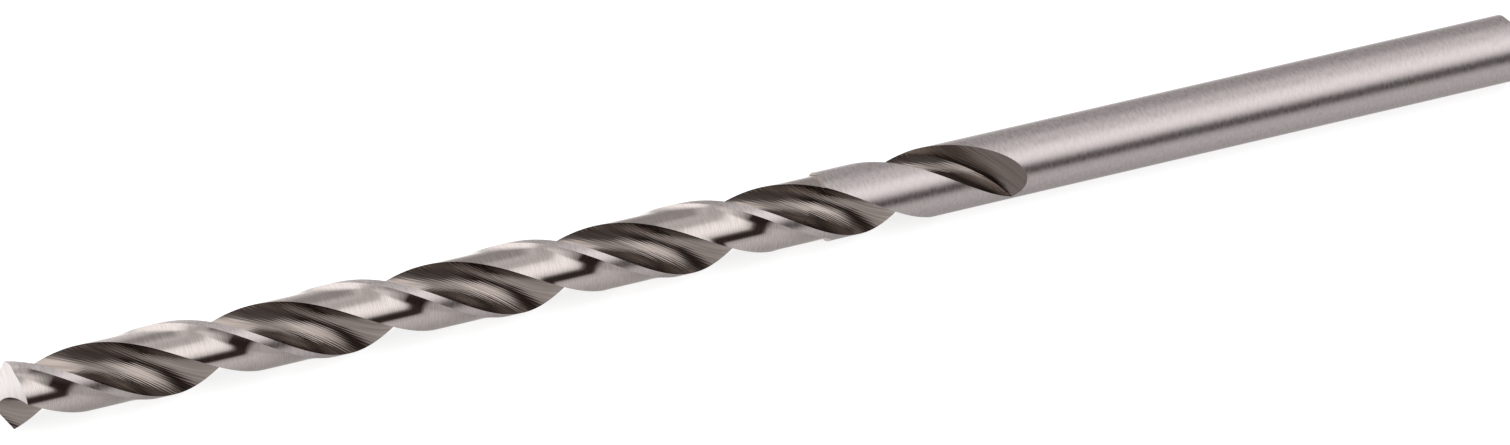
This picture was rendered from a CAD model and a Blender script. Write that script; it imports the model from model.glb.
"""A long-series twist drill of high-speed steel, ground all over, lying on a pale studio floor.

The drill's axis runs along +X from the point to the shank, +Z is up, and the origin is the centre
of the shank's end face. Lengths are in metres and angles in radians, unless a name says otherwise.
"""

import logging
import math
from abc import ABC, abstractmethod
from dataclasses import dataclass
from enum import Enum

import bpy
from mathutils import Matrix, Vector


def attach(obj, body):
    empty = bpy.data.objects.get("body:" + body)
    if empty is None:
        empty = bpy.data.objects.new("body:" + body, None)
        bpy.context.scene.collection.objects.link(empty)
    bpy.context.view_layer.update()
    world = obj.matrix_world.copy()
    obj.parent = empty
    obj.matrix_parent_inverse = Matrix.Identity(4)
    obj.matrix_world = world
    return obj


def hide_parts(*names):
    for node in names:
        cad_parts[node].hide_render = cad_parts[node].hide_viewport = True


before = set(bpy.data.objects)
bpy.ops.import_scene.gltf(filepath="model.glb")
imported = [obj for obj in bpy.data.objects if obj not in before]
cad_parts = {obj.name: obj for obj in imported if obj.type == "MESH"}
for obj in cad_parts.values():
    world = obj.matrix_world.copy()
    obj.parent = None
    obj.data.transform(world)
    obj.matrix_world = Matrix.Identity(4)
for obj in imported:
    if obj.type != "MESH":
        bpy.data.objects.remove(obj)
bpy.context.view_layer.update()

MM = 0.001
NODE = "twist_drill"
log = logging.getLogger("twist_drill")


# ---------------------------------------------------------------------------------------------
# Sizes
# ---------------------------------------------------------------------------------------------
@dataclass(frozen=True)
class DrillSizes:
    """The drill's sizes, in metres and radians."""

    radius: float = 3.0 * MM  # over the margins, at the point
    length: float = 139.0 * MM  # from the middle of the chisel edge to the shank's end face
    shank_radius: float = 2.975 * MM  # the body tapers back to this
    taper_run_on: float = 1.0 * MM  # the taper ends this far past the flutes
    flute_length: float = 90.7 * MM  # from the chisel edge to the far end of the run-out
    pitch: float = 30.45 * MM  # advance of the flutes in one turn
    half_point_angle: float = math.radians(59)  # between the axis and a lip
    first_lip_angle: float = math.radians(75.2)  # its outer corner, turned from +Y towards +Z
    half_web_at_point: float = 0.65 * MM  # half of the core left between the flutes
    half_web_at_run_out: float = 0.835 * MM  # it thickens towards the shank
    land_at_point: float = math.radians(83.7)  # from a land's leading edge round to its heel
    land_at_run_out: float = math.radians(98.3)
    heel_wall_start: float = 0.5 * MM  # the rake face ends this far from abreast of the axis
    margin_width: float = 0.72 * MM  # strip of full diameter behind each leading edge
    clearance_blend: float = 1.55 * MM  # width of the hollow blend down from the margin
    clearance_depth: float = 0.28 * MM  # how far under the margin the rest of the land lies
    clearance_rise_start: float = math.radians(86)  # where the clearance starts to come out again
    clearance_length: float = 72.8 * MM  # from the chisel edge to where the clearance ends
    clearance_overlap: float = math.radians(8)  # it runs out this far past the widest heel
    flank_cone_half_angle: float = math.radians(50.5)  # of the cone that a flank is ground on
    flank_cone_setback: float = 1.5 * MM  # its tip lies on the lip's line, this far past the axis
    flank_cone_turn: float = math.radians(9)  # turned about the lip, to give the lip its relief
    run_out_tilt: float = math.radians(60.4)  # between the axis and the end wall's normal
    run_out_lead: float = math.radians(53.4)  # the wall's far point, ahead of the leading edge
    shank_chamfer: float = 1.2 * MM

    @property
    def flute_end_x(self) -> float:
        """Where the flutes' run-out ends."""
        return self.flute_length - self.length

    @property
    def taper_end_x(self) -> float:
        """Where the body's taper meets the parallel shank."""
        return self.flute_end_x + self.taper_run_on

    @property
    def clearance_end_x(self) -> float:
        """Where the land goes back to full diameter."""
        return self.clearance_length - self.length

    def lip_reach(self, r: float, half_web: float) -> float:
        """Distance along a lip from abreast of the axis out to radius r."""
        return math.sqrt(r**2 - half_web**2)

    def lip_frame(self) -> tuple[Vector, Vector, Vector]:
        """Works out the directions in which the first lip's cone is placed.

        Returns:
            Directions out along the lip, squarely ahead of it, and up out of the point.
        """
        angle = self.first_lip_angle + math.asin(self.half_web_at_point / self.radius)
        out = Vector((0, math.cos(angle), math.sin(angle)))
        ahead = Vector((0, math.sin(angle), -math.cos(angle)))
        return out, ahead, Vector((-1, 0, 0))

    def flank_cone(self) -> tuple[Vector, Vector]:
        """Places the cone on which the first flank is ground.

        Returns:
            The cone's tip, from the lips' crossing, and its axis, into the drill.
        """
        out, ahead, up = self.lip_frame()
        lip = out * math.sin(self.half_point_angle) - up * math.cos(self.half_point_angle)
        axis = Matrix.Rotation(self.flank_cone_half_angle, 3, ahead) @ lip
        axis = Matrix.Rotation(self.flank_cone_turn, 3, lip) @ axis
        rise = self.flank_cone_setback / math.tan(self.half_point_angle)
        tip = ahead * self.half_web_at_point - out * self.flank_cone_setback + up * rise
        return tip, axis

    @property
    def lip_crossing_x(self) -> float:
        """Station at which the two lips' lines pass the axis.

        The drill's axis leaves the flank's cone in the middle of the chisel edge, whose station
        is known, so this solves the cone's quadratic along the axis.

        Returns:
            The station along X.
        """
        tip, axis = self.flank_cone()
        up = self.lip_frame()[2]
        spread = math.cos(self.flank_cone_half_angle) ** 2
        along, rise = tip.dot(axis), up.dot(axis)
        a = rise**2 - spread
        b = spread * tip.dot(up) - along * rise
        c = along**2 - spread * tip.dot(tip)
        return (-b - math.sqrt(b**2 - a * c)) / a - self.length

    @property
    def corner_x(self) -> float:
        """Station of the lips' outer corners."""
        reach = self.lip_reach(self.radius, self.half_web_at_point)
        return self.lip_crossing_x + reach / math.tan(self.half_point_angle)

    def lead_angle(self, x: float) -> float:
        """Angle of the first land's leading edge at station x, from +Y towards +Z."""
        return self.first_lip_angle + math.tau * (x - self.corner_x) / self.pitch


def polar(r: float, angle: float) -> Vector:
    """Point of a cross-section at radius r, the angle counted from the leading edge."""
    return Vector((0, r * math.cos(angle), r * math.sin(angle)))


def arc(centre: Vector, start: Vector, sweep: float, count: int) -> list[Vector]:
    """Lays points along an arc in a cross-section.

    Args:
        centre: Its centre.
        start: Its first point, which isn't returned.
        sweep: Its angle, positive from +Y towards +Z.
        count: How many points follow the first.

    Returns:
        The points after the first.
    """
    spoke = start - centre
    turns = [Matrix.Rotation(sweep * (i + 1) / count, 3, "X") for i in range(count)]
    return [centre + turn @ spoke for turn in turns]


# ---------------------------------------------------------------------------------------------
# Mesh tools
# ---------------------------------------------------------------------------------------------
class Cut(Enum):
    """What a grinding tool's solid does to the steel."""

    AWAY = "DIFFERENCE"  # takes away what is inside the solid
    DOWN_TO = "INTERSECT"  # takes away what is outside it


class Bench:
    """Small helpers for modelling with operators, one object at a time."""

    @staticmethod
    def only(obj: bpy.types.Object) -> None:
        """Makes an object the active one and the only one selected.

        Args:
            obj: The object.
        """
        bpy.ops.object.select_all(action="DESELECT")
        bpy.context.view_layer.objects.active = obj
        obj.select_set(True)

    @staticmethod
    def outline(name: str, points: list[Vector]) -> bpy.types.Object:
        """Makes a closed outline of edges.

        Args:
            name: The new object's name.
            points: The outline's corners, in order.

        Returns:
            The outline, as a mesh object.
        """
        mesh = bpy.data.meshes.new(name)
        count = len(points)
        mesh.from_pydata(points, [(i, (i + 1) % count) for i in range(count)], [])
        obj = bpy.data.objects.new(name, mesh)
        bpy.context.scene.collection.objects.link(obj)
        return obj

    @classmethod
    def apply(cls, obj: bpy.types.Object, kind: str, **settings: object) -> None:
        """Adds a modifier to an object and applies it.

        Args:
            obj: The object.
            kind: The modifier's type.
            settings: The modifier's own properties.
        """
        cls.only(obj)
        modifier = obj.modifiers.new(kind, kind)
        for key, value in settings.items():
            setattr(modifier, key, value)
        bpy.ops.object.modifier_apply(modifier=modifier.name)

    @classmethod
    def grind(cls, obj: bpy.types.Object, tool: bpy.types.Object, cut: Cut) -> None:
        """Cuts an object with a tool's solid, which leaves its finish there and is removed.

        Args:
            obj: The object that is cut.
            tool: The tool's solid.
            cut: What the solid takes away.
        """
        cls.apply(
            obj, "BOOLEAN", object=tool, operation=cut.value, solver="MANIFOLD",
            material_mode="TRANSFER",
        )
        bpy.data.objects.remove(tool)

    @staticmethod
    def half_turned(obj: bpy.types.Object) -> bpy.types.Object:
        """Copies an object and turns the copy half a turn about the drill's axis.

        Args:
            obj: The object.

        Returns:
            The copy, with a mesh of its own.
        """
        twin = obj.copy()
        twin.data = obj.data.copy()
        bpy.context.scene.collection.objects.link(twin)
        twin.data.transform(Matrix.Rotation(math.pi, 4, "X"))
        return twin

    @classmethod
    def close(cls, obj: bpy.types.Object) -> None:
        """Fills an object's open ends and points its faces outwards.

        Args:
            obj: The object.
        """
        cls.only(obj)
        bpy.ops.object.mode_set(mode="EDIT")
        bpy.ops.mesh.select_all(action="SELECT")
        bpy.ops.mesh.fill_holes(sides=0)
        bpy.ops.mesh.select_all(action="SELECT")
        bpy.ops.mesh.normals_make_consistent(inside=False)
        bpy.ops.object.mode_set(mode="OBJECT")


# ---------------------------------------------------------------------------------------------
# The grinding tools: what each takes off the bar
# ---------------------------------------------------------------------------------------------
@dataclass
class HelicalWheel(ABC):
    """A wheel that is fed along the helix. Its section may change from start to end."""

    sizes: DrillSizes
    name: str
    end_x: float  # station at which the feed ends
    overrun: float = 1.0 * MM  # the wheel starts this far ahead of the point
    step: float = 0.25 * MM  # advance between two rings of the mesh

    @abstractmethod
    def section(self, share: float) -> list[Vector]:
        """Draws the outline that is ground away, angles counted from the leading edge.

        Args:
            share: 0 at the start of the feed, ahead of the point, and 1 at its end.

        Returns:
            The outline's corners, in order.
        """

    def trim(self, solid: bpy.types.Object) -> None:
        """Shapes the far end of the solid, where it isn't square to the axis."""

    @property
    def start_x(self) -> float:
        """Station at which the wheel starts, clear of the point."""
        return -self.sizes.length - self.overrun

    @property
    def feed(self) -> float:
        """How far the wheel is fed along the drill."""
        return self.end_x - self.start_x

    def wound(self, share: float) -> bpy.types.Object:
        """Winds one section along the helix, over the whole feed.

        Args:
            share: Which section, from 0 at the start of the feed to 1 at its end.

        Returns:
            The wound skin, open at both ends.
        """
        turn = Matrix.Rotation(self.sizes.lead_angle(self.start_x), 3, "X")
        points = [turn @ p + Vector((self.start_x, 0, 0)) for p in self.section(share)]
        skin = Bench.outline(self.name, points)
        steps = round(self.feed / self.step)
        Bench.apply(
            skin, "SCREW", axis="X", screw_offset=self.feed, steps=steps, render_steps=steps,
            angle=math.tau * self.feed / self.sizes.pitch, use_merge_vertices=False,
        )
        return skin

    def build(self, material: bpy.types.Material) -> bpy.types.Object:
        """Makes the closed solid that the wheel takes away.

        Args:
            material: The finish that the wheel leaves on the steel.

        Returns:
            The solid, with each ring blended between the sections at the two ends.
        """
        solid, at_end = self.wound(0), self.wound(1)
        for vertex, goal in zip(solid.data.vertices, at_end.data.vertices):
            vertex.co = vertex.co.lerp(goal.co, (vertex.co.x - self.start_x) / self.feed)
        bpy.data.objects.remove(at_end)
        Bench.close(solid)
        solid.data.materials.append(material)
        self.trim(solid)
        return solid


@dataclass
class FluteWheel(HelicalWheel):
    """Grinds a flute: rake face, floor and heel wall in one hollow, and a slanting run-out."""

    rake_points: int = 22
    heel_points: int = 34
    tangent_step: float = 0.001  # share of heel_wall_start over which the tangent is taken
    heel_wall_share: float = 1.3  # the heel's wall runs on past the heel, to this share of it
    outside: float = 0.45 * MM  # the rake face runs on this far past the bar
    crown: float = 1.8 * MM  # and the outline's back stands this far out
    block_width: float = 30.0 * MM  # of the block that the wheel's flat side is cut with

    def section(self, share: float) -> list[Vector]:
        """Draws the flute, from the rake face's outer end round to the heel's.

        Args:
            share: 0 at the start of the feed, ahead of the point, and 1 at its end.

        Returns:
            The outline's corners, in order.
        """
        s = self.sizes
        along = (share * self.feed - self.overrun) / s.flute_length
        half_web = s.half_web_at_point + (s.half_web_at_run_out - s.half_web_at_point) * along
        land = s.land_at_point + (s.land_at_run_out - s.land_at_point) * along
        far = s.lip_reach(s.radius + self.outside, half_web)
        reaches = [
            far + (s.heel_wall_start - far) * i / (self.rake_points - 1)
            for i in range(self.rake_points)
        ]
        rake = [self.rake_point(reach, half_web) for reach in reaches]
        # The heel's wall carries on from the rake face as an arc through the heel.
        beyond = s.heel_wall_start - self.tangent_step * s.heel_wall_start
        tangent = (self.rake_point(beyond, half_web) - rake[-1]).normalized()
        chord = polar(s.radius, land - math.pi) - rake[-1]
        across = Vector((0, -tangent.z, tangent.y))
        side = math.copysign(1, across.dot(chord))
        across *= side
        bend = chord.length_squared / (2 * across.dot(chord))
        turn = 2 * tangent.angle(chord) * side * self.heel_wall_share
        wall = arc(rake[-1] + across * bend, rake[-1], turn, self.heel_points)
        back = polar(s.radius + self.crown, (land - math.pi) / 2)
        return rake + wall + [back]

    def rake_point(self, reach: float, half_web: float) -> Vector:
        """Carries a point of the straight lip into the cross-section of the lip's corner.

        Args:
            reach: The point's distance along the lip, from abreast of the axis.
            half_web: Half the core's thickness there.

        Returns:
            The point of the rake face, angles counted from the leading edge.
        """
        s = self.sizes
        advance = (s.lip_reach(s.radius, half_web) - reach) / math.tan(s.half_point_angle)
        turn = math.asin(half_web / s.radius) + math.tau * advance / s.pitch
        return Matrix.Rotation(turn, 3, "X") @ Vector((0, reach, -half_web))

    def trim(self, solid: bpy.types.Object) -> None:
        """Cuts the end off along the wheel's flat side, with a block that lies against it.

        Args:
            solid: The flute's solid.
        """
        s = self.sizes
        far = s.lead_angle(s.flute_end_x) - s.run_out_lead
        out = Vector((0, math.cos(far), math.sin(far)))
        normal = Vector((math.cos(s.run_out_tilt), 0, 0)) - out * math.sin(s.run_out_tilt)
        bpy.ops.object.select_all(action="DESELECT")
        bpy.ops.mesh.primitive_cube_add(size=self.block_width)
        block = bpy.context.object
        turn = Vector((0, 0, 1)).rotation_difference(normal).to_matrix().to_4x4()
        corner = Vector((s.flute_end_x, 0, 0)) + out * s.radius
        block.data.transform(Matrix.Translation(corner + normal * self.block_width / 2) @ turn)
        block.data.materials.append(solid.data.materials[0])
        Bench.grind(solid, block, Cut.AWAY)


@dataclass
class ClearanceWheel(HelicalWheel):
    """Grinds the land behind the margin: a hollow blend down to a level floor."""

    blend_points: int = 14
    floor_points: int = 12
    rise_points: int = 10
    rim_points: int = 8
    outside: float = 0.45 * MM  # the outline's rim stands this far past the bar

    def section(self, share: float) -> list[Vector]:
        """Draws the steel taken off a land.

        The land runs level, a little under the margin. A hollow blend leads down to it from the
        margin, and past the widest heel the wheel comes back out to full diameter.

        Args:
            share: Place along the feed. The outline is the same all along.

        Returns:
            The outline's corners, in order.
        """
        s = self.sizes
        margin_end = s.margin_width / s.radius
        blend_end = margin_end + s.clearance_blend / s.radius
        rise_start = s.clearance_rise_start
        end = s.land_at_run_out + s.clearance_overlap
        level = s.radius - s.clearance_depth
        floor = [
            polar(level, blend_end + (rise_start - blend_end) * i / self.floor_points)
            for i in range(self.floor_points + 1)
        ]
        rise = self.curve_out(level, rise_start, end, self.rise_points)
        rim = [
            polar(s.radius + self.outside, end + (margin_end - end) * i / self.rim_points)
            for i in range(self.rim_points + 1)
        ]
        blend = self.curve_out(level, blend_end, margin_end, self.blend_points)
        return floor + rise + rim + blend[::-1]

    def curve_out(self, level: float, start: float, end: float, count: int) -> list[Vector]:
        """Curves from the level floor out to the bar's surface.

        Args:
            level: The floor's radius.
            start: Angle at which the curve leaves the floor.
            end: Angle at which it reaches the bar.
            count: How many points it takes.

        Returns:
            The curve's points, without its start.
        """
        shares = [(i + 1) / count for i in range(count)]
        climb = self.sizes.radius - level
        return [polar(level + climb * t**2, start + (end - start) * t) for t in shares]


@dataclass
class FlankCone:
    """The cone inside which a flank's steel is left."""

    sizes: DrillSizes
    segments: int = 360
    height_in_drills: float = 2.0  # tall enough to hold the whole drill

    def build(self, material: bpy.types.Material) -> bpy.types.Object:
        """Makes the solid cone for the first flank.

        Args:
            material: The finish that the cone's wheel leaves on the steel.

        Returns:
            The cone, in its place over the drill.
        """
        s = self.sizes
        tip, axis = s.flank_cone()
        height = self.height_in_drills * s.length
        bpy.ops.object.select_all(action="DESELECT")
        bpy.ops.mesh.primitive_cone_add(
            vertices=self.segments, radius1=0, depth=height,
            radius2=height * math.tan(s.flank_cone_half_angle),
        )
        cone = bpy.context.object
        place = Matrix.Translation(tip + Vector((s.lip_crossing_x, 0, 0)))
        turn = Vector((0, 0, 1)).rotation_difference(axis).to_matrix().to_4x4()
        cone.data.transform(place @ turn @ Matrix.Translation((0, 0, height / 2)))
        cone.data.materials.append(material)
        return cone


# ---------------------------------------------------------------------------------------------
# Finishes
# ---------------------------------------------------------------------------------------------
def linear(hex_colour: str) -> tuple[float, float, float, float]:
    """Turns an sRGB colour into linear light.

    Args:
        hex_colour: The colour, such as #dcd4d0.

    Returns:
        Red, green and blue by the sRGB curve, and full opacity.
    """
    channels = [int(hex_colour[i:i + 2], 16) / 255 for i in (1, 3, 5)]
    lit = [c / 12.92 if c <= 0.04045 else ((c + 0.055) / 1.055) ** 2.4 for c in channels]
    return (*lit, 1.0)


class Lay(Enum):
    """Which way the marks of the grinding run."""

    ROUND = "round the bar"
    FED = "across the flute, turning with the helix as the wheel was fed"


@dataclass(frozen=True)
class Finish:
    """A ground surface: the steel's colour, how clearly it mirrors, and its grinding marks.

    Attributes:
        name: The material's name, which says how the surface was made.
        colour: The steel's colour in the bright streaks.
        shade: Its colour between them.
        roughness: How far the mirroring is blurred.
        roughness_spread: How much that varies from streak to streak.
        marks_mm: Distance from one grinding mark to the next, measured along X.
        length_mm: How long a mark runs before it fades.
        height_mm: How high the marks stand.
        lay: Which way they run.
    """

    name: str
    colour: str
    shade: str
    roughness: float
    roughness_spread: float
    marks_mm: float
    length_mm: float
    height_mm: float
    lay: Lay = Lay.ROUND


# Real grinding scratches are 0.01 to 0.03 mm apart, which is too fine to show. So each finish's
# marks are drawn as coarse as they need to show, at the spacing given in marks_mm.

# High-speed steel, centreless ground: an even grey satin that mirrors its surroundings as soft
# bands along the bar. The marks are short, so they look like grain.
SHANK = Finish(
    name="ground_steel_shank_centreless_ground", colour="#e2d9d8", shade="#d2c9c9",
    roughness=0.3, roughness_spread=0.06, marks_mm=0.22, length_mm=0.6, height_mm=0.0006,
)
# The same steel as the lathe left it, turned and then hardened: dull and dark, with rings as far
# apart as the turning tool's feed.
CHAMFER = Finish(
    name="ground_steel_chamfer_turned", colour="#6e6462", shade="#524a48",
    roughness=0.34, roughness_spread=0.06, marks_mm=0.12, length_mm=2.0, height_mm=0.002,
)
# Point ground on the cone, last of all: the freshest and brightest steel, with a fine satin.
FLANK = Finish(
    name="ground_steel_flank_point_ground", colour="#f4eeec", shade="#e6dfdd",
    roughness=0.3, roughness_spread=0.05, marks_mm=0.1, length_mm=3.0, height_mm=0.001,
)
# Polished with a fine wheel: it mirrors almost clearly, under a thin grain.
LAND = Finish(
    name="ground_steel_land_polished", colour="#e6dcd8", shade="#d4cac6",
    roughness=0.07, roughness_spread=0.04, marks_mm=0.1, length_mm=1.5, height_mm=0.0004,
)
# Creep-feed ground from the solid in one pass: nearly a mirror, but combed by the wheel's grit
# into fine long grooves, 0.36 mm apart along X and so about 0.2 mm apart on the surface. It looks
# darker and a little browner than the lands.
FLUTE = Finish(
    name="ground_steel_flute_creep_feed_ground", colour="#beb3ad", shade="#a2968f",
    roughness=0.08, roughness_spread=0.06, marks_mm=0.36, length_mm=8.0, height_mm=0.0052,
    lay=Lay.FED,
)


# A Mix node's colour sockets, which share their names with its other kinds of socket.
MIX_FIRST, MIX_SECOND, MIX_RESULT = 6, 7, 2


class NodeBoard:
    """A node tree that is filled one node at a time."""

    def __init__(self, tree: bpy.types.NodeTree) -> None:
        """Takes over the tree and clears it."""
        self.tree = tree
        tree.nodes.clear()

    def add(self, kind: str, sockets: dict[int | str, object] | None = None,
            stops: list[tuple[float, float]] | None = None, **settings: object) -> bpy.types.Node:
        """Adds a node.

        Args:
            kind: The node's type, without its ShaderNode prefix.
            sockets: Input name or number to a value, to an output socket to link from, or to a
                node, whose first output is linked.
            stops: A Color Ramp's greys, as one (place, level) for each stop.
            settings: The node's own properties.

        Returns:
            The new node.
        """
        node = self.tree.nodes.new("ShaderNode" + kind)
        for key, value in settings.items():
            setattr(node, key, value)
        for key, value in (sockets or {}).items():
            source = value.outputs[0] if isinstance(value, bpy.types.Node) else value
            if isinstance(source, bpy.types.NodeSocket):
                self.tree.links.new(source, node.inputs[key])
            else:
                node.inputs[key].default_value = source
        if stops:
            elements = node.color_ramp.elements
            while len(elements) < len(stops):
                elements.new(1.0)
            for element, (place, level) in zip(elements, stops):
                element.position = place
                element.color = (level, level, level, 1.0)
        return node


@dataclass
class SteelShop:
    """Makes the materials: one steel, as each wheel leaves it."""

    sizes: DrillSizes
    noise_detail: float = 3.0  # octaves of finer streaks in the marks
    streak_dark: float = 0.3  # noise below this is all shade
    streak_bright: float = 0.7  # and above this all colour
    groove_wander: float = 0.5  # spacings by which the noise moves a groove sideways
    groove_share: float = 0.5  # brings a groove's sine to the noise's height
    groove_slope_out: float = 1.33  # a groove goes back this far for each mm to the leading edge
    groove_slope_beside: float = 1.40  # and for each mm squarely beside that
    divide_slope: float = 0.06  # of the plane that parts one flute's grooves from the other's

    def make(self, finish: Finish) -> bpy.types.Material:
        """Builds a finish's material: streaks in its colour and gloss, and grooves in relief.

        Args:
            finish: The finish.

        Returns:
            The new material.
        """
        material = bpy.data.materials.new(finish.name)
        material.use_nodes = True
        board = NodeBoard(material.node_tree)
        across, along = self.marks(board, finish)
        # One cell of the noise is one spacing wide and one length long.
        place = board.add("CombineXYZ", {0: across, 1: along})
        noise = board.add("TexNoise", {"Vector": place, "Scale": 1.0, "Detail": self.noise_detail},
                          noise_dimensions="2D")
        streak = board.add("ValToRGB", {0: noise},
                           stops=[(self.streak_dark, 0.0), (self.streak_bright, 1.0)])
        colour = board.add("Mix", {0: streak, MIX_FIRST: linear(finish.shade),
                                   MIX_SECOND: linear(finish.colour)}, data_type="RGBA")
        low = finish.roughness - finish.roughness_spread / 2
        rough = board.add("Math", {0: streak, 1: finish.roughness_spread, 2: low},
                          operation="MULTIPLY_ADD")
        relief = noise
        if finish.lay is Lay.FED:
            wander = board.add("Math", {0: noise, 1: self.groove_wander, 2: across},
                               operation="MULTIPLY_ADD")
            turns = board.add("Math", {0: wander, 1: math.tau}, operation="MULTIPLY")
            groove = board.add("Math", {0: turns}, operation="SINE")
            relief = board.add("Math", {0: groove, 1: self.groove_share, 2: noise},
                               operation="MULTIPLY_ADD")
        bump = board.add("Bump", {"Strength": 1.0, "Distance": finish.height_mm * MM,
                                  "Height": relief})
        shader = board.add("BsdfPrincipled", {
            "Base Color": colour.outputs[MIX_RESULT], "Metallic": 1.0, "Roughness": rough,
            "Normal": bump})
        board.add("OutputMaterial", {0: shader})
        return material

    def marks(self, board: NodeBoard, finish: Finish) -> tuple[bpy.types.Node, bpy.types.Node]:
        """Counts the grinding marks, at the spacing and length that the finish gives in mm.

        Args:
            board: The material's nodes.
            finish: The finish.

        Returns:
            Place across the marks, where 1 is one spacing, and along them, where 1 is one length.
        """
        s = self.sizes
        per_spacing = 1 / (finish.marks_mm * MM)
        per_length = 1 / (finish.length_mm * MM)
        position = board.add("TexCoord").outputs["Object"]
        x, y, z = board.add("SeparateXYZ", {0: position}).outputs
        if finish.lay is Lay.ROUND:
            angle = board.add("Math", {0: z, 1: y}, operation="ARCTAN2")
            return (board.add("Math", {0: x, 1: per_spacing}, operation="MULTIPLY"),
                    board.add("Math", {0: angle, 1: s.radius * per_length}, operation="MULTIPLY"))
        # The cross-section is turned back by the helix, so that its Y runs out through the first
        # leading edge all along. The second flute's grooves slant the other way.
        at_origin = s.lead_angle(0.0)
        angle = board.add("Math", {0: x, 1: -math.tau / s.pitch, 2: -at_origin},
                          operation="MULTIPLY_ADD")
        turned = board.add("VectorRotate", {"Vector": position, "Angle": angle},
                           rotation_type="X_AXIS")
        _, out, beside = board.add("SeparateXYZ", {0: turned}).outputs
        side = board.add("Math", {0: out, 1: -self.divide_slope, 2: beside},
                         operation="MULTIPLY_ADD")
        sign = board.add("Math", {0: side}, operation="SIGN")
        sideways = board.add("Math", {0: beside, 1: self.groove_slope_beside},
                             operation="MULTIPLY")
        slant = board.add("Math", {0: out, 1: self.groove_slope_out, 2: sideways},
                          operation="MULTIPLY_ADD")
        across = board.add("Math", {0: sign, 1: slant, 2: x}, operation="MULTIPLY_ADD")
        return (board.add("Math", {0: across, 1: per_spacing}, operation="MULTIPLY"),
                board.add("Math", {0: x, 1: per_length}, operation="MULTIPLY"))


# ---------------------------------------------------------------------------------------------
# The drill
# ---------------------------------------------------------------------------------------------
@dataclass
class Drill:
    """The whole drill: a bar that the wheels have ground, one piece of steel."""

    sizes: DrillSizes
    segments: int = 256
    spare: float = 0.5 * MM  # the bar starts this far ahead of the point
    leeway: float = 0.5 * MM  # in choosing what lies at a station or beyond it
    smooth_under: float = math.radians(14)  # edges that bend less than this are shaded smooth

    def bar(self, material: bpy.types.Material, rim: bpy.types.Material) -> bpy.types.Object:
        """Turns the plain bar, with the chamfer round the shank's end.

        Args:
            material: The finish of the bar.
            rim: The finish of the chamfer.

        Returns:
            The bar.
        """
        s = self.sizes
        length = s.length + self.spare
        bpy.ops.object.select_all(action="DESELECT")
        bpy.ops.mesh.primitive_cylinder_add(
            vertices=self.segments, radius=s.radius, depth=length,
            location=(-length / 2, 0, 0), rotation=(0, math.pi / 2, 0),
        )
        bar = bpy.context.object
        bar.name = "ground_drill"
        bpy.ops.object.transform_apply(location=True, rotation=True, scale=True)
        bar.data.materials.append(material)
        bar.data.materials.append(rim)
        bpy.ops.object.mode_set(mode="EDIT")
        bpy.ops.mesh.select_all(action="SELECT")
        bpy.ops.mesh.bisect(plane_co=(s.taper_end_x, 0, 0), plane_no=(1, 0, 0))
        bpy.ops.mesh.select_mode(type="EDGE")
        bpy.ops.mesh.select_all(action="DESELECT")
        bpy.ops.object.mode_set(mode="OBJECT")
        slim = s.shank_radius / s.radius
        for vertex in bar.data.vertices:
            if vertex.co.x > s.taper_end_x - self.leeway:
                vertex.co.y *= slim
                vertex.co.z *= slim
        for edge in bar.data.edges:
            edge.select = all(bar.data.vertices[i].co.x > -self.leeway for i in edge.vertices)
        bpy.ops.object.mode_set(mode="EDIT")
        bpy.ops.mesh.bevel(offset=s.shank_chamfer, segments=1, affect="EDGES", material=1)
        bpy.ops.object.mode_set(mode="OBJECT")
        return bar

    def build(self, steel: SteelShop) -> bpy.types.Object:
        """Grinds the bar, twice with each tool, half a turn apart.

        Args:
            steel: Where the finishes are made.

        Returns:
            The finished drill.
        """
        s = self.sizes
        drill = self.bar(steel.make(SHANK), steel.make(CHAMFER))
        cone = FlankCone(s).build(steel.make(FLANK))
        clearance = ClearanceWheel(s, "clearance", s.clearance_end_x).build(steel.make(LAND))
        flute = FluteWheel(s, "flute", s.flute_end_x).build(steel.make(FLUTE))
        for tool, cut in ((cone, Cut.DOWN_TO), (clearance, Cut.AWAY), (flute, Cut.AWAY)):
            for one in (Bench.half_turned(tool), tool):
                Bench.grind(drill, one, cut)
        Bench.only(drill)
        bpy.ops.object.shade_smooth_by_angle(angle=self.smooth_under)
        return drill


# ---------------------------------------------------------------------------------------------
# Stage
# ---------------------------------------------------------------------------------------------
@dataclass(frozen=True)
class Wall:
    """One side of the studio, as the steel mirrors it.

    Attributes:
        levels: Height in degrees above the horizon, and the brightness there, where 1 is white.
        spread: Heading in degrees from +Y towards +X, and how much of the wall shows there.
    """

    levels: tuple[tuple[float, float], ...]
    spread: tuple[tuple[float, float], ...] = ((0, 1),)


# Behind: a grey wall over a white table. It shows wherever no other wall does.
BEHIND = Wall(
    levels=((-90, 0.33), (-60, 0.38), (-50, 0.5), (-38, 1.0), (-18, 1.0), (-8, 0.6), (2, 0.38),
            (20, 0.3), (55, 0.33), (66, 0.48), (74, 0.6), (84, 0.55), (90, 0.5)),
)
# Right: a large soft light, and the dark gap between it and the grey table.
SOFT_LIGHT = Wall(
    levels=((-90, 0.33), (-70, 0.42), (-45, 0.54), (-28, 0.58), (-16, 0.45), (-10, 0.1),
            (-7, 0.02), (6, 0.02), (12, 0.15), (18, 0.6), (26, 0.9), (36, 1.1), (50, 1.1),
            (60, 0.95), (68, 0.6), (74, 0.52), (84, 0.5), (90, 0.5)),
    spread=((0, 0), (35, 0), (75, 0.7), (110, 1), (178, 1), (196, 0)),
)
# Front right: a dark upright beside the soft light, with light again over it.
UPRIGHT = Wall(
    levels=((-90, 0.33), (-40, 0.45), (-18, 0.4), (-9, 0.1), (-5, 0.01), (22, 0.01), (28, 0.25),
            (40, 0.5), (60, 0.75), (76, 0.7), (90, 0.5)),
    spread=((0, 0), (171, 0), (176, 1), (196, 1), (200, 0)),
)
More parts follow.
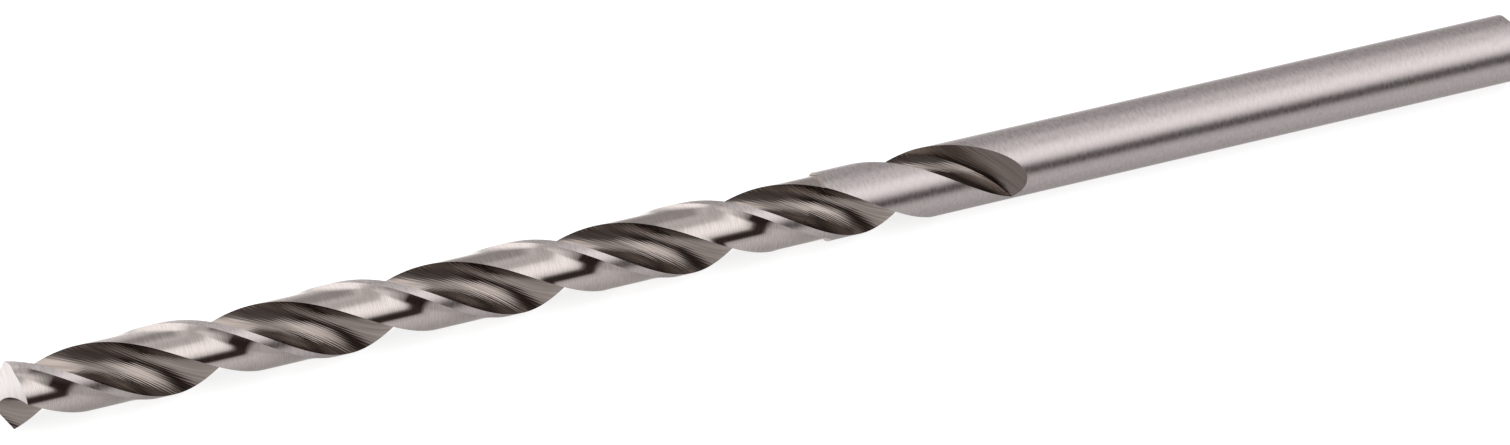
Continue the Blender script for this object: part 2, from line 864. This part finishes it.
# Left: a white wall down to the table.
WHITE_WALL = Wall(
    levels=((-90, 0.33), (-60, 0.5), (-30, 0.6), (-12, 0.75), (-2, 1.05), (20, 1.15), (65, 1.15),
            (76, 0.9), (84, 0.6), (90, 0.5)),
    spread=((0, 1), (8, 1), (16, 0), (235, 0), (250, 1), (360, 1)),
)
# In front: the dark room.
DARK_ROOM = Wall(
    levels=((-90, 0.33), (-40, 0.38), (-20, 0.26), (-8, 0.06), (20, 0.08), (54, 0.12), (60, 0.15),
            (68, 0.45), (76, 0.5), (90, 0.5)),
    spread=((0, 0), (184, 0), (197, 1), (225, 1), (240, 0)),
)


@dataclass
class Studio:
    """The camera, the floor and the light."""

    floor_height: float

    lens_mm: float = 154.65
    sensor_width_mm: float = 36.0
    clip_start: float = 0.01
    clip_end: float = 10.0
    camera_place: tuple[float, float, float] = (-0.241515, -0.415809, 0.311513)
    camera_aim: tuple[float, float, float] = (0.30993, 0.76087, -0.57011)

    floor_size: float = 6.0
    floor_grey: float = 0.5  # how much light the floor sends back, which the shadow takes away
    floor_glow: float = 0.75  # added for the camera, so that the lit floor shows white

    brightest: float = 1.2  # a level of 1 in the walls' ramps stands for this brightness
    inside: float = 0.55  # share of the light left after a second mirroring, inside a flute
    second_mirroring: float = 1.5  # between the glossy depths of the first and the second
    haze: tuple[float, float, float, float] = (0.012, 0.005, 0.003, 1.0)  # warms the dark parts

    def build(self) -> None:
        """Sets up the whole studio."""
        self.set_camera()
        self.lay_floor()
        self.set_light()

    def set_camera(self) -> None:
        """Looks down at the drill from in front of its point."""
        data = bpy.data.cameras.new("camera")
        data.lens, data.sensor_width = self.lens_mm, self.sensor_width_mm
        data.clip_start, data.clip_end = self.clip_start, self.clip_end
        camera = bpy.data.objects.new("camera", data)
        camera.location = self.camera_place
        camera.rotation_euler = Vector(self.camera_aim).to_track_quat("-Z", "Y").to_euler()
        bpy.context.scene.collection.objects.link(camera)
        bpy.context.scene.camera = camera

    def lay_floor(self) -> None:
        """Lays a plain pale floor under the drill. It shows white, with the drill's shadow."""
        bpy.ops.object.select_all(action="DESELECT")
        bpy.ops.mesh.primitive_plane_add(size=self.floor_size, location=(0, 0, self.floor_height))
        floor = bpy.context.object
        floor.name = "floor"
        # Matt painted board: it sends light back evenly, and mirrors nothing.
        material = bpy.data.materials.new("pale_floor")
        material.use_nodes = True
        board = NodeBoard(material.node_tree)
        grey = (self.floor_grey, self.floor_grey, self.floor_grey, 1.0)
        paint = board.add("BsdfDiffuse", {"Color": grey})
        seen = board.add("LightPath").outputs["Is Camera Ray"]
        glow = board.add("Math", {0: seen, 1: self.floor_glow}, operation="MULTIPLY")
        shine = board.add("Emission", {"Strength": glow})
        board.add("OutputMaterial", {0: board.add("AddShader", {0: paint, 1: shine})})
        floor.data.materials.append(material)
        floor.visible_glossy = False

    def room(self, board: NodeBoard) -> bpy.types.NodeSocket:
        """Stands the walls round the drill, as greys by direction.

        Args:
            board: The world's nodes.

        Returns:
            The room's grey in the direction of a ray, where 1 is the brightest level.
        """
        direction = board.add("TexCoord").outputs["Generated"]
        x, y, z = board.add("SeparateXYZ", {0: direction}).outputs
        height = board.add("Math", {0: z}, operation="ARCSINE")
        rise = board.add("Math", {0: height, 1: 1 / math.pi, 2: 0.5}, operation="MULTIPLY_ADD")
        # Both are turned round, so that the heading counts from 0 at +Y up to 360 degrees.
        back_x = board.add("Math", {0: x, 1: -1.0}, operation="MULTIPLY")
        back_y = board.add("Math", {0: y, 1: -1.0}, operation="MULTIPLY")
        angle = board.add("Math", {0: back_x, 1: back_y}, operation="ARCTAN2")
        heading = board.add("Math", {0: angle, 1: 1 / math.tau, 2: 0.5}, operation="MULTIPLY_ADD")
        room = self.levels(board, rise, BEHIND).outputs[0]
        for wall in (SOFT_LIGHT, UPRIGHT, WHITE_WALL, DARK_ROOM):
            share = board.add("ValToRGB", {0: heading},
                              stops=[(turn / 360, part) for turn, part in wall.spread])
            levels = self.levels(board, rise, wall)
            room = board.add("Mix", {0: share, MIX_FIRST: room, MIX_SECOND: levels},
                             data_type="RGBA").outputs[MIX_RESULT]
        return room

    def levels(self, board: NodeBoard, rise: bpy.types.Node, wall: Wall) -> bpy.types.Node:
        """Paints a wall's greys from the ground up to the zenith."""
        stops = [(height / 180 + 0.5, lit / self.brightest) for height, lit in wall.levels]
        return board.add("ValToRGB", {0: rise}, stops=stops)

    def set_light(self) -> None:
        """Lights the scene evenly from all round, and gives the steel a studio to mirror."""
        world = bpy.data.worlds.new("studio")
        bpy.context.scene.world = world
        world.use_nodes = True
        board = NodeBoard(world.node_tree)
        even = board.add("Background", {"Color": (1, 1, 1, 1), "Strength": 1.0})
        path = board.add("LightPath").outputs
        again = board.add("Math", {0: path["Glossy Depth"], 1: self.second_mirroring},
                          operation="GREATER_THAN")
        dimming = self.brightest * (self.inside - 1)
        strength = board.add("Math", {0: again, 1: dimming, 2: self.brightest},
                             operation="MULTIPLY_ADD")
        hazy = board.add("Mix", {0: 1.0, MIX_FIRST: self.room(board), MIX_SECOND: self.haze},
                         data_type="RGBA", blend_type="ADD").outputs[MIX_RESULT]
        mirrored = board.add("Background", {"Color": hazy, "Strength": strength})
        light = board.add("MixShader", {0: path["Is Glossy Ray"], 1: even, 2: mirrored})
        board.add("OutputWorld", {0: light})


def main() -> None:
    """Builds the drill and its studio."""
    logging.basicConfig(level=logging.INFO, format="%(name)s: %(message)s")
    sizes = DrillSizes()
    drill = Drill(sizes).build(SteelShop(sizes))
    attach(drill, "root")
    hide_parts(NODE)
    finishes = [slot.name for slot in drill.material_slots]
    log.info("%s: %d faces, in %s", drill.name, len(drill.data.polygons), ", ".join(finishes))
    Studio(floor_height=-sizes.radius).build()
    log.info("floor, camera and light are set up")
    bpy.context.scene.view_settings.view_transform = "Standard"


if __name__ == "__main__":
    main()
